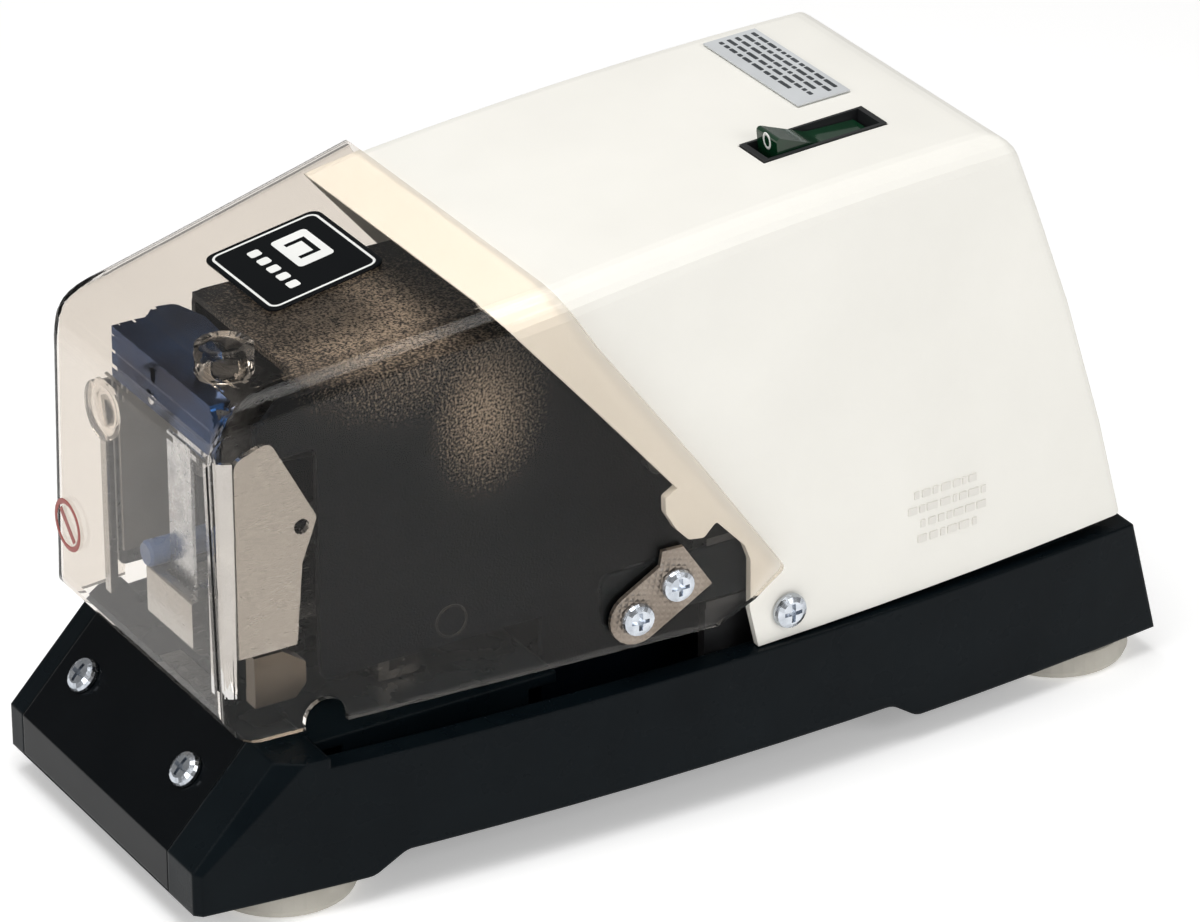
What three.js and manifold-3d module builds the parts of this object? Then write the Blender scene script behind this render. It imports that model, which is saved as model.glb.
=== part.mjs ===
// Heavy-duty electric desk stapler.
// Millimetres, +Z up. The origin is on the table under the middle of the base.
// -Y is the front, where paper goes in; +X is the user's right-hand side when facing the machine's rear.
import * as THREE from 'three';
import { mergeVertices } from 'three/addons/utils/BufferGeometryUtils.js';
import Module from 'manifold-3d';

const wasm = await Module();
wasm.setup();

// ---------------------------------------------------------------- driving dimensions

const GAP = 0.3;                    // clearance between touching pieces
const HALF_LENGTH = 145;            // the base runs from -145 to 145 in Y

const BASE = {
  endHalfWidth: 51.5,               // half width of the base at its two ends
  bulge: 9.05,                      // how much further the sides stand out at mid length
  underside: 8,                     // height of the underside above the table
  railTop: 42,                      // top of the raised rim
  deckTop: 44.8,                    // top of the front table
  floorTop: 17,                     // inside floor of the tray
  wall: 6.4,
  slopeFoot: [-145, 20],            // the front slope, as [y, z]
  slopeHead: [-121.8, 44.8],
  deckBack: -108.4,
  frontHalfWidth: 49.9,             // width of the sloping front between its corner facets
  trayBack: 128,
};

const CASING = {
  wall: 2.2,
  lowerEdge: 42.4,
  lowerEdgeRear: 45.4,
  rearFoot: 135,                    // y of the rear face at the lower edge
  rearHead: 96,                     // y of the rear face at the roof
  height: 163.6,                    // height at the rear top edge
  creaseRadius: 7,
  cornerRadius: 4,
};

const HOOD = {
  wall: 1.8,
  front: -133,
  cornerRadius: 4.5,
  sideRadius: 8,                    // rounding between the top and a side
  browRadius: 15,                   // rounding between the top and the front
  travel: 40,                       // how far the hood draws forward
};

const PIVOT = [0, 90];              // [y, z] of the pin that the driver arm and magazine swing on
const PLUNGER_Y = 62;
const ROCKER = { x: 20.15, y: 54, z: 157.5, halfWidth: 4.8, halfLength: 15.6 };
const FOOT = { radius: 20, height: 7.7, x: 34, front: -115, rear: 124.5 };

// ---------------------------------------------------------------- surfaces of the body

const baseHalfWidth = (y) => BASE.endHalfWidth + BASE.bulge * (1 - (y / HALF_LENGTH) ** 2);
const roof = (y) => 158.5 + 0.067 * y - 4.15 * ((y - 40) / 100) ** 2;

function casingHalfWidth(y, z) {
  const foot = baseHalfWidth(y) - 2.2;
  const head = 51.49 - 0.0185 * y - 0.11 * Math.max(0, -44 - y);
  const t = (z - BASE.railTop) / (roof(y) - BASE.railTop);
  return foot + (head - foot) * t;
}

function casingRear(z) {
  const t = (z - BASE.railTop) / (CASING.height - BASE.railTop);
  return CASING.rearFoot + (CASING.rearHead - CASING.rearFoot) * t + 2.5 * Math.sin(Math.PI * t);
}

const hoodTop = (y) => 143.5 + (y + 114) * (12.5 / 70);

function hoodHalfWidth(y, z) {
  const low = 47.3 + 0.0875 * (y + 125);
  const high = 45.2 + 0.144 * (y + 114);
  return low + (high - low) * (z - 50) / 95;
}

// ---------------------------------------------------------------- solids

function solidOf(geometry) {
  const bare = new THREE.BufferGeometry();
  bare.setAttribute('position', geometry.attributes.position.clone());
  bare.setIndex(geometry.index ? geometry.index.clone() : null);
  const merged = mergeVertices(bare, 1e-4);
  const index = merged.index.array;
  const at = merged.attributes.position.array;
  const triangles = [];
  let volume = 0;
  for (let i = 0; i < index.length; i += 3) {
    const [a, b, c] = [index[i], index[i + 1], index[i + 2]];
    if (a === b || b === c || a === c) continue;
    triangles.push(a, b, c);
    const p = new THREE.Vector3().fromArray(at, 3 * a);
    const q = new THREE.Vector3().fromArray(at, 3 * b);
    const r = new THREE.Vector3().fromArray(at, 3 * c);
    volume += p.dot(q.cross(r));
  }
  if (volume < 0) triangles.reverse();
  return new wasm.Manifold(new wasm.Mesh({
    numProp: 3,
    vertProperties: new Float32Array(at),
    triVerts: new Uint32Array(triangles),
  }));
}

function geometryOf(solid) {
  const mesh = solid.getMesh();
  const geometry = new THREE.BufferGeometry();
  geometry.setAttribute('position', new THREE.BufferAttribute(new Float32Array(mesh.vertProperties), 3));
  geometry.setIndex(new THREE.BufferAttribute(new Uint32Array(mesh.triVerts), 1));
  geometry.computeVertexNormals();
  return geometry;
}

const join = (...solids) => solids.reduce((a, b) => a.add(b));
const cut = (body, ...tools) => tools.reduce((a, b) => a.subtract(b), body);

function box(x0, x1, y0, y1, z0, z1) {
  const geometry = new THREE.BoxGeometry(x1 - x0, y1 - y0, z1 - z0);
  return solidOf(geometry.translate((x0 + x1) / 2, (y0 + y1) / 2, (z0 + z1) / 2));
}

// An outline from corners [u, v] or [u, v, radius], with rounded corners as arcs.
function outline(corners, steps = 4) {
  const points = [];
  corners.forEach(([u, v, radius = 0], i) => {
    const here = new THREE.Vector2(u, v);
    if (!radius) {
      points.push(here);
      return;
    }
    const before = corners[(i + corners.length - 1) % corners.length];
    const after = corners[(i + 1) % corners.length];
    const back = new THREE.Vector2(before[0] - u, before[1] - v).normalize();
    const ahead = new THREE.Vector2(after[0] - u, after[1] - v).normalize();
    const half = Math.acos(THREE.MathUtils.clamp(back.dot(ahead), -1, 1)) / 2;
    const centre = back.clone().add(ahead).normalize().multiplyScalar(radius / Math.sin(half)).add(here);
    const reach = radius / Math.tan(half);
    const start = back.multiplyScalar(reach).add(here).sub(centre).angle();
    const end = ahead.multiplyScalar(reach).add(here).sub(centre).angle();
    const turn = THREE.MathUtils.euclideanModulo(end - start + Math.PI, 2 * Math.PI) - Math.PI;
    for (let k = 0; k <= steps; k++) {
      const angle = start + turn * k / steps;
      points.push(new THREE.Vector2(Math.cos(angle), Math.sin(angle)).multiplyScalar(radius).add(centre));
    }
  });
  return points;
}

function arc(u, v, radius, from, to, steps = 8) {
  return Array.from({ length: steps + 1 }, (_, k) => {
    const angle = THREE.MathUtils.degToRad(from + (to - from) * k / steps);
    return [u + radius * Math.cos(angle), v + radius * Math.sin(angle)];
  });
}

const X = new THREE.Vector3(1, 0, 0);
const Y = new THREE.Vector3(0, 1, 0);
const Z = new THREE.Vector3(0, 0, 1);

function extrude(corners, depth, right, up, along, shift) {
  const shape = new THREE.Shape(outline(corners));
  const geometry = new THREE.ExtrudeGeometry(shape, { depth, bevelEnabled: false });
  geometry.applyMatrix4(new THREE.Matrix4().makeBasis(right, up, along));
  return solidOf(geometry.translate(shift.x, shift.y, shift.z));
}

const prismZ = (corners, z0, z1) => extrude(corners, z1 - z0, X, Y, Z, new THREE.Vector3(0, 0, z0));
const prismX = (corners, x0, x1) => extrude(corners, x1 - x0, Y, Z, X, new THREE.Vector3(x0, 0, 0));
const prismY = (corners, y0, y1) => (
  extrude(corners, y1 - y0, X, Z, Y.clone().negate(), new THREE.Vector3(0, y1, 0)));

// Turned solid: profile points are [radius, distance along the axis].
function turned(profile, origin, axis, segments = 32) {
  const points = profile.map(([radius, along]) => new THREE.Vector2(radius, along));
  const geometry = new THREE.LatheGeometry(points, segments);
  geometry.applyQuaternion(new THREE.Quaternion().setFromUnitVectors(Y, axis.clone().normalize()));
  return solidOf(geometry.translate(...origin));
}

function rod(radius, origin, axis, length, segments = 32) {
  return turned([[0, 0], [radius, 0], [radius, length], [0, length]], origin, axis, segments);
}

// Closed body through rings of the same number of points. Each ring is an open loop that is
// mirrored about X = 0, so the end caps are strips between a point and its mirror image.
function loft(rings) {
  const count = rings[0].length;
  const positions = rings.flat().flatMap((p) => [p.x, p.y, p.z]);
  const index = [];
  const quad = (a, b, c, d) => index.push(a, b, c, a, c, d);
  for (let r = 0; r + 1 < rings.length; r++) {
    for (let i = 0; i < count; i++) {
      const j = (i + 1) % count;
      quad(r * count + i, r * count + j, (r + 1) * count + j, (r + 1) * count + i);
    }
  }
  const last = (rings.length - 1) * count;
  for (let i = 0; i + 1 < count / 2; i++) {
    const [a, b, c, d] = [i, i + 1, count - 2 - i, count - 1 - i];
    quad(a, d, c, b);
    quad(last + a, last + b, last + c, last + d);
  }
  const geometry = new THREE.BufferGeometry();
  geometry.setAttribute('position', new THREE.Float32BufferAttribute(positions, 3));
  geometry.setIndex(index);
  return solidOf(geometry);
}

// ---------------------------------------------------------------- scene graph

const stapler = new THREE.Group();

function add(name, solid, look, parent = stapler) {
  const material = new THREE.MeshStandardMaterial(look);
  const mesh = new THREE.Mesh(geometryOf(solid), material);
  mesh.name = name;
  parent.add(mesh);
  return mesh;
}

const LOOK = {
  blackPaint: { color: 0x16191d, roughness: 0.42, metalness: 0.1 },
  blackGloss: { color: 0x0c0e11, roughness: 0.12, metalness: 0 },
  blackPlastic: { color: 0x17181a, roughness: 0.5, metalness: 0 },
  offWhite: { color: 0xefece2, roughness: 0.45, metalness: 0 },
  rubber: { color: 0xb8b4a8, roughness: 0.85, metalness: 0 },
  clear: { color: 0xb9aa95, roughness: 0.06, metalness: 0, transparent: true, opacity: 0.35 },
  zinc: { color: 0xc4c8cf, roughness: 0.25, metalness: 1 },
  nickel: { color: 0xb7aea3, roughness: 0.3, metalness: 1 },
  steel: { color: 0x8a8d90, roughness: 0.35, metalness: 1 },
  blued: { color: 0x17263d, roughness: 0.16, metalness: 1 },
  bronze: { color: 0x8d7458, roughness: 0.35, metalness: 1 },
  copper: { color: 0x8c4a24, roughness: 0.4, metalness: 0.8 },
  green: { color: 0x123a24, roughness: 0.12, metalness: 0 },
  blue: { color: 0x3a5687, roughness: 0.35, metalness: 0 },
  grey: { color: 0xb9bbbd, roughness: 0.4, metalness: 0 },
  red: { color: 0x8f3a34, roughness: 0.4, metalness: 0 },
  board: { color: 0x1e5a34, roughness: 0.5, metalness: 0 },
};

// ---------------------------------------------------------------- base

const slope = new THREE.Vector3(
  0,
  BASE.slopeHead[0] - BASE.slopeFoot[0],
  BASE.slopeHead[1] - BASE.slopeFoot[1],
).normalize();
const slopeOut = new THREE.Vector3(0, -slope.z, slope.y);

function planOutline(inset, y0, y1, steps = 14) {
  const right = Array.from({ length: steps + 1 }, (_, k) => {
    const y = y0 + (y1 - y0) * k / steps;
    return [baseHalfWidth(y) - inset, y];
  });
  return [...right, ...right.map(([x, y]) => [-x, y]).reverse()];
}

// A wedge that widens inwards from a face of the base, which leaves facets on its corners.
function facetWedge(faceX, up, inward, origin) {
  const reach = 400;
  const shape = new THREE.Shape([
    new THREE.Vector2(-faceX, 0),
    new THREE.Vector2(faceX, 0),
    new THREE.Vector2(faceX + reach, reach),
    new THREE.Vector2(-faceX - reach, reach),
  ]);
  const geometry = new THREE.ExtrudeGeometry(shape, { depth: 2 * reach, bevelEnabled: false });
  geometry.translate(0, 0, -reach);
  geometry.applyMatrix4(new THREE.Matrix4().makeBasis(X, inward, up));
  return solidOf(geometry.translate(...origin));
}

const FRONT_PLATE = { x0: -43, x1: 36.5, thickness: 2.4 };
const SCREW = { head: 4.75, headHeight: 2.6, shank: 2.5 };
const frontScrews = [-31.2, 24.8];
const frontScrewPoint = (x, lift) => {
  const onSlope = new THREE.Vector3(x, BASE.slopeFoot[0], BASE.slopeFoot[1]).addScaledVector(slope, 18.3);
  return onSlope.addScaledVector(slopeOut, lift);
};

// Side view of the front plate, grown by a margin all round.
function frontPlateSide(margin) {
  const depth = FRONT_PLATE.thickness + margin;
  const [footY, footZ] = BASE.slopeFoot;
  const [headY, headZ] = BASE.slopeHead;
  return [
    [footY - margin, BASE.underside + 0.6 - margin],
    [footY - margin, footZ + 0.2 * margin],
    [headY + slopeOut.y * margin - slope.y * 0.4, headZ + slopeOut.z * margin - slope.z * 0.4],
    [headY - slopeOut.y * depth - slope.y * 0.4, headZ - slopeOut.z * depth - slope.z * 0.4],
    [footY + depth, footZ - slope.z * 1.2],
    [footY + depth, BASE.underside + 0.6 - margin],
  ];
}

function baseCasting() {
  const [slopeY, slopeZ] = BASE.slopeFoot;
  const side = [
    [-145, BASE.underside],
    [slopeY, slopeZ],
    BASE.slopeHead,
    [BASE.deckBack, BASE.deckTop],
    [BASE.deckBack, BASE.railTop],
    [135.9, BASE.railTop],
    [145, BASE.underside],
    [64, BASE.underside, 6],
    [56, 13.4, 6],
    [-88, 13.4, 6],
    [-97, BASE.underside, 6],
  ];
  let body = prismZ(planOutline(0, -HALF_LENGTH, HALF_LENGTH), 0, 60);
  body = body.intersect(prismX(side, -80, 80));
  const down = slope.clone().negate();
  body = body.intersect(facetWedge(BASE.frontHalfWidth, down, slopeOut.clone().negate(), [0, slopeY, slopeZ]));
  body = body.intersect(facetWedge(BASE.frontHalfWidth, Z.clone().negate(), Y, [0, -HALF_LENGTH, 0]));
  const tray = prismZ(planOutline(BASE.wall, BASE.deckBack, BASE.trayBack), BASE.floorTop, 60);
  const pocket = prismX([[-139, 0], [-139, 19], [-124, 35.5], [-112.2, 35.5], [-112.2, 0]], -44, 44);
  const anvilSeat = box(-13, 13, -119.9, -113, 39, 60);
  const plateSeat = prismX(frontPlateSide(GAP), FRONT_PLATE.x0 - GAP, FRONT_PLATE.x1 + GAP);
  body = cut(body, tray, pocket, anvilSeat, plateSeat);
  // An inner lip stands inside the casing's walls and carries its side screws.
  const lipOuter = loft([44 - 4, 50].map((z) => lipRing(z, CASING.wall + 0.5)));
  const lipInner = loft([0, 60].map((z) => lipRing(z, CASING.wall + 3)));
  const lipSpan = box(-80, 80, 18, 116, BASE.railTop - 3, 49);
  body = body.add(cut(lipOuter, lipInner).intersect(lipSpan));
  for (const x of frontScrews) {
    body = cut(body, rod(SCREW.shank + GAP, frontScrewPoint(x, -14), slopeOut, 20, 24));
  }
  for (const side of [-1, 1]) {
    body = cut(body, rod(SCREW.shank + GAP, [side * 45, 24.1, 50.5], X.clone().multiplyScalar(side), 20, 20));
  }
  return body;
}

function lipRing(z, inset) {
  const points = [];
  for (let k = 0; k <= 12; k++) {
    const y = 10 + (casingRear(z) - inset - 10) * k / 12;
    points.push(new THREE.Vector3(casingHalfWidth(y, z) - inset, y, z));
  }
  return [...points, ...points.map((p) => new THREE.Vector3(-p.x, p.y, p.z)).reverse()];
}

add('base_casting', baseCasting(), LOOK.blackPaint);

let frontPlate = prismX(frontPlateSide(0), FRONT_PLATE.x0, FRONT_PLATE.x1);
for (const x of frontScrews) {
  frontPlate = cut(frontPlate, rod(SCREW.shank + GAP, frontScrewPoint(x, -14), slopeOut, 30, 24));
}
add('front_plate', frontPlate, LOOK.blackGloss);

// Pan-head machine screw with a cross recess. The head's seat is at the origin.
function panScrew(origin, axis, shankLength, head = SCREW.head, height = SCREW.headHeight) {
  const body = turned([
    [0, -shankLength],
    [SCREW.shank - 0.5, -shankLength],
    [SCREW.shank, 0.5 - shankLength],
    [SCREW.shank, 0],
    [head, 0],
    [head, 0.35 * height],
    [0.92 * head, 0.68 * height],
    [0.66 * head, 0.92 * height],
    [0.3 * head, height],
    [0, height],
  ], [0, 0, 0], Y, 20);
  const arm = 0.55 * head;
  const recess = join(
    box(-arm, arm, 0.35 * height, 2 * height, -0.55, 0.55),
    box(-0.55, 0.55, 0.35 * height, 2 * height, -arm, arm),
  );
  const geometry = geometryOf(cut(body, recess));
  geometry.applyQuaternion(new THREE.Quaternion().setFromUnitVectors(Y, axis.clone().normalize()));
  return solidOf(geometry.translate(...origin));
}

['left', 'right'].forEach((side, i) => {
  const seat = frontScrewPoint(frontScrews[i], GAP);
  add(`front_screw_${side}`, panScrew(seat, slopeOut, 12), LOOK.zinc);
});

function foot(x, y) {
  const { radius, height } = FOOT;
  return turned([
    [0, 0], [radius - 2.2, 0], [radius - 0.7, 0.6], [radius, 2.2],
    [radius - 0.6, height - 0.6], [radius - 1.4, height], [0, height],
  ], [x, y, 0], Z, 40);
}

for (const [side, sign] of [['left', -1], ['right', 1]]) {
  add(`foot_front_${side}`, foot(sign * FOOT.x, FOOT.front + 3), LOOK.rubber);
  add(`foot_rear_${side}`, foot(sign * FOOT.x, FOOT.rear), LOOK.rubber);
}

// ---------------------------------------------------------------- paper path

const TRIGGER = { y: -88, z: 34, swing: 12 };

function paperTable() {
  const top = box(-46, 46, BASE.deckBack + GAP, -38, 41.6, 44.6);
  const legs = [-1, 1].map((s) => box(s * 45 - 1, s * 45 + 1, -100, -46, BASE.floorTop + GAP, 42));
  const ears = [-1, 1].map((s) => box(s * 5 - 1, s * 5 + 1, -92, -84, 30, 42));
  const slot = box(-3, 3, -93, -81, 30, 60);
  return cut(join(top, ...legs, ...ears), slot, rod(1.9, [-9, TRIGGER.y, TRIGGER.z], X, 18, 20));
}
add('paper_table', paperTable(), LOOK.blackPaint);

const anvilBlock = box(-12.6, 12.6, -119.6, -113.4, 39.3, 45);
const clinchGrooves = [-1, 1].map((s) => rod(1.4, [s * 4 - 2.4, -118.1, 45.6], X, 4.8, 16));
add('anvil', cut(anvilBlock, ...clinchGrooves), LOOK.steel);

// The trigger stands up through the table's slot; paper tips it back and its tail presses the switch.
const triggerBlade = prismX([
  [-89.2, 24], [-86.8, 24], [-86.6, 32], [-85, 34, 1], [-86.4, 38], [-87, 50.4, 1], [-89, 50.4, 1],
  [-89.6, 38], [-91, 34, 1], [-89.4, 32],
], -2, 2);
add('paper_trigger', join(triggerBlade, rod(1.5, [-7, TRIGGER.y, TRIGGER.z], X, 14, 20)), LOOK.steel);

const switchBody = box(-5, 5, -103, -92, BASE.floorTop + GAP, 30);
add('microswitch', cut(switchBody, box(-1.9, 1.9, -96.8, -90, 22.6, 26.4)), LOOK.blackPlastic);
add('switch_plunger', box(-1.5, 1.5, -94, -89.6, 23, 26), LOOK.grey);

const stopBar = box(-28, 28, -79.5, -76.5, 45.1, 51.6);
const stopGrip = prismZ([[18, -77, 0], [28, -77, 0], [28, -66, 3], [18, -66, 3]], 45.1, 47.4);
add('paper_stop', join(stopBar, stopGrip), LOOK.nickel);

// ---------------------------------------------------------------- casing

function casingRing(inset, heightOf, front) {
  const radius = Math.max(CASING.cornerRadius - inset, 1.5);
  const points = [];
  let y = front;
  const at = (f, shift = 0) => {
    for (let n = 0; n < 4; n++) {
      const rear = casingRear(heightOf(y)) - inset;
      y = front + f * (rear - radius - front) + shift;
    }
    return y;
  };
  for (let k = 0; k <= 12; k++) {
    y = at(k / 12);
    points.push([casingHalfWidth(y, heightOf(y)) - inset, y, heightOf(y)]);
  }
  const [sideX, cornerY, cornerZ] = points[points.length - 1];
  for (let k = 1; k <= 5; k++) {
    const a = Math.PI / 2 * k / 5;
    points.push([sideX - radius + radius * Math.cos(a), cornerY + radius * Math.sin(a), cornerZ]);
  }
  const right = points.map(([px, py, pz]) => new THREE.Vector3(px, py, pz));
  return [...right, ...right.map((p) => new THREE.Vector3(-p.x, p.y, p.z)).reverse()];
}

function casingBody(inset, low, front) {
  const radius = CASING.creaseRadius - inset;
  const rings = [];
  for (const level of [0, 0.3, 0.62, 0.86]) {
    rings.push(casingRing(inset, (y) => low + (roof(y) - inset - radius - low) * level, front));
  }
  for (let k = 0; k <= 5; k++) {
    const a = Math.PI / 2 * k / 5;
    const drop = inset + radius * (1 - Math.sin(a));
    rings.push(casingRing(inset + radius * (1 - Math.cos(a)), (y) => roof(y) - drop, front));
  }
  return loft(rings);
}

const casingSide = [
  [15, CASING.lowerEdge], [12.6, 54], [13, 67.5], [11.3, 72.2], [3.1, 81.1, 1], [-0.7, 77.6, 1.5],
  [-5.2, 78.3, 1.5], [-8.8, 82.1], [-11.7, 87.2, 1], [-11.7, 91.4, 1], [-8.2, 93.3],
  [-30, 119], [-57.6, 151], [-57.6, 180], [160, 180], [160, CASING.lowerEdgeRear],
  [135, CASING.lowerEdgeRear],
];

const INLET = { halfWidth: 17, low: 52, high: 80, face: 132.5, back: 108 };
const SWITCH_CUT = { x0: 13.9, x1: 26.4, y0: 35.2, y1: 72.7 };

function casing() {
  let shell = cut(casingBody(0, 38, -66), casingBody(CASING.wall, 20, -76));
  shell = shell.intersect(prismX(casingSide, -80, 80));
  const inletCut = box(-INLET.halfWidth - GAP, INLET.halfWidth + GAP, 95, 150, INLET.low - GAP, INLET.high + GAP);
  const switchCut = box(SWITCH_CUT.x0, SWITCH_CUT.x1, SWITCH_CUT.y0, SWITCH_CUT.y1, 150, 180);
  shell = cut(shell, inletCut, switchCut);
  for (let i = 0; i < 6; i++) {
    const z = 96 + 7.5 * i;
    shell = cut(shell, prismY([[-26, z, 1.4], [26, z, 1.4], [26, z + 3, 1.4], [-26, z + 3, 1.4]], 90, 150));
  }
  for (const s of [-1, 1]) {
    shell = cut(shell, rod(SCREW.shank + GAP, [s * 45, 24.1, 50.5], X.clone().multiplyScalar(s), 20, 24));
  }
  return shell;
}
add('casing', casing(), LOOK.offWhite);

for (const [side, s] of [['left', -1], ['right', 1]]) {
  const seat = [s * (casingHalfWidth(24.1, 50.5) + 0.45), 24.1, 50.5];
  add(`casing_screw_${side}`, panScrew(seat, X.clone().multiplyScalar(s), 8), LOOK.zinc);
}

function topLabel() {
  const [y0, y1] = [59, 75];
  const tilt = (roof(y1) - roof(y0)) / (y1 - y0);
  const low = (y) => roof(59) + 0.4 + tilt * (y - 59);
  return prismX([[y0, low(y0)], [y1, low(y1)], [y1, low(y1) + 0.35], [y0, low(y0) + 0.35]], -41, 5);
}
add('top_label', topLabel(), LOOK.grey);

// ---------------------------------------------------------------- power rocker

function rockerHousing() {
  const { x0, x1, y0, y1 } = SWITCH_CUT;
  const rim = prismX([
    [y0 + GAP, 147], [y1 - GAP, 147], [y1 - GAP, roof(y1) + 0.5], [y0 + GAP, roof(y0) + 0.5],
  ], x0 + GAP, x1 - GAP);
  const well = box(ROCKER.x - 5.1, ROCKER.x + 5.1, y0 + 1.9, y1 - 1.9, 149, 180);
  return cut(rim, well);
}
add('rocker_housing', rockerHousing(), LOOK.blackPlastic);

// The two halves of the rocker's top meet at a shallow angle over its pivot. At rest the rear half
// is pressed in and the front half stands up.
function rockerButton() {
  const { x, y, z, halfWidth, halfLength } = ROCKER;
  const lean = THREE.MathUtils.degToRad(10);
  const tilt = THREE.MathUtils.degToRad(10);
  const turn = ([u, v]) => [
    y + u * Math.cos(tilt) + v * Math.sin(tilt),
    z - u * Math.sin(tilt) + v * Math.cos(tilt),
  ];
  const rise = halfLength * Math.sin(lean);
  const corners = [
    [-halfLength, 3.4 + rise], [0, 3.4], [halfLength, 3.4 + rise],
    [halfLength - 2.6, -3], [6, -6.5], [-6, -6.5], [-halfLength + 2.6, -3],
  ].map(turn);
  const [front, middle, rear, rearLow, lowA, lowB, frontLow] = corners;
  return prismX([
    [...front, 0.9], [...middle, 9], [...rear, 0.9], [...rearLow, 2], [...lowA, 3], [...lowB, 3], [...frontLow, 2],
  ], x - halfWidth, x + halfWidth);
}
add('rocker_button', rockerButton(), LOOK.green);

// ---------------------------------------------------------------- power inlet

function inletHousing() {
  const { halfWidth, low, high, face, back } = INLET;
  const flange = prismX([[back, low], [face, low], [face, high], [back, high]], -halfWidth, halfWidth);
  const mouth = [[-12, 57.5, 1], [12, 57.5, 1], [12, 69, 1], [7.5, 74.5, 1], [-7.5, 74.5, 1], [-12, 69, 1]];
  return cut(flange, prismY(mouth, 116.5, face + 5));
}
add('inlet_housing', inletHousing(), LOOK.blackPlastic);

const inletPins = [['neutral', -7, 62.6], ['earth', 0, 67.6], ['live', 7, 62.6]];
for (const [name, x, z] of inletPins) {
  add(`inlet_pin_${name}`, box(x - 1, x + 1, 116.8, 127, z - 2, z + 2), LOOK.nickel);
}

// ---------------------------------------------------------------- machine frame

const FRAME = { half: 32, wall: 2, top: 133.6, low: 53, foot: BASE.floorTop + GAP };

function machineFrame() {
  const { half, wall, top, low, foot: ground } = FRAME;
  const lower = [[34, top, 3], [34, ground], [-34, ground], [-34, low], [-98, low, 2]];
  const right = prismX([
    ...lower.slice(0), [-98, 118, 2], [-115, 118, 2], [-115, 126, 5], [-107.5, top, 6],
  ], half - wall, half);
  const left = prismX([...lower, [-98, top, 3]], -half, -half + wall);
  const roofPlate = box(-half + 0.5, half - 0.5, -98, 34, top - wall, top);
  const ties = [[-70, 112], [18, 60]].map(([y, z]) => rod(3, [-half + 1, y, z + 8], X, 2 * half - 2, 20));
  const frame = join(right, left, roofPlate, ties[1]);
  return cut(frame, rod(4 + GAP, [-40, PIVOT[0], PIVOT[1]], X, 80, 32));
}
add('machine_frame', machineFrame(), LOOK.blackPaint);

add('arm_pivot_pin', rod(4, [-34.5, PIVOT[0], PIVOT[1]], X, 69, 32), LOOK.steel);

// Side plates that guide the head. The right one carries a bronze foot over the paper slot.
const rightGuide = prismX([
  [-122, 66.3], [-122, 121, 3], [-112, 124.6, 3], [-99.2, 100.4, 2.5], [-103.6, 88.7], [-105.6, 66.3],
], FRAME.half + GAP, FRAME.half + GAP + 1.5);
add('guide_plate_right', cut(rightGuide, rod(2.1, [30, -103.6, 98.8], X, 8, 20)), LOOK.nickel);
const leftGuide = prismX([
  [-120, 62, 2], [-120, 117, 3], [-88, 117], [-88, 75], [-97, 62, 3],
], -FRAME.half - GAP - 1.5, -FRAME.half - GAP);
add('guide_plate_left', leftGuide, LOOK.steel);
const guideFoot = prismX([
  [-118, 51.6], [-118, 65.7], [-110, 65.7], [-103.5, 61], [-103.5, 55], [-106.5, 51.6],
], FRAME.half - 2.5, FRAME.half + 2.2);
add('guide_foot', guideFoot, LOOK.bronze);

// ---------------------------------------------------------------- driver arm

function hub(radius, x0, x1) {
  return rod(radius, [x0, PIVOT[0], PIVOT[1]], X, x1 - x0, 32);
}

function driverArm() {
  const bar = prismX([
    [-117.4, 104, 2], [-117.4, 130.4, 2], [-101, 130.4, 4], [-84, 118, 8], [-12, 104, 8],
    [10, 99, 8], [38, 86, 6], [72, 84, 2], [72, 76, 2], [8, 80, 8], [-12, 80, 8], [-60, 100, 8],
  ], -7, 7);
  const arm = join(bar, hub(11, -9.8, 9.8));
  return cut(arm, hub(4.35, -12, 12), box(-3.6, 3.6, PLUNGER_Y - 5, PLUNGER_Y + 5, 70, 110));
}
add('driver_arm', driverArm(), LOOK.steel);
add('driver_blade', box(-6.2, 6.2, -118.6, -117.7, 70, 112), LOOK.zinc);

function headCap() {
  const lip = prismY([
    [-28, 118, 1.5], [25, 116.5, 2], [27, 124, 2], [24, 132.2, 2], [-28, 132.2, 1],
  ], -122.4, -120.9);
  const leaf = prismZ([
    [-28, -122.4], [24, -122.4], [24, -117, 2], [6, -113.5, 3], [-3, -107, 6], [-6, -101.5, 3],
    [-20, -100.5, 4], [-30.5, -103.5, 3], [-31.5, -109.5, 3], [-27.5, -113, 2], [-28, -117, 1],
  ], 130.7, 132.2);
  const hole = rod(1.7, [-8, -124, 121.5], Y, 5, 20);
  const slot = box(-7.2, -4.6, -124, -120, 125.2, 130);
  return cut(join(lip, leaf), hole, slot);
}
add('head_cap', headCap(), LOOK.blued);

// ---------------------------------------------------------------- magazine

const CHANNEL = { half: 10.2, low: 58.5, high: 72, slot: 6.8, front: -113.9, back: -10 };

const channel = box(-CHANNEL.half, CHANNEL.half, CHANNEL.front, CHANNEL.back, CHANNEL.low, CHANNEL.high);
const channelSlot = box(-CHANNEL.slot, CHANNEL.slot, CHANNEL.front - 1, CHANNEL.back + 1, 60, 80);
add('magazine_channel', cut(channel, channelSlot), LOOK.nickel);

function magazineNose() {
  const block = prismX([
    [-122.5, 59, 1.5], [-122.5, 72.5, 1], [-112.3, 72.5, 1], [-112.3, 57], [-120.5, 57, 1],
  ], -12.2, 12.2);
  const bladePath = box(-6.8, 6.8, -119.8, -114, 50, 80);
  const seat = box(-CHANNEL.half - GAP, CHANNEL.half + GAP, -114.2, -110, 50, 80);
  return cut(block, bladePath, seat);
}
add('magazine_nose', magazineNose(), LOOK.nickel);

const LATCH = { x: -10.3, z: 76.4 };

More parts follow.
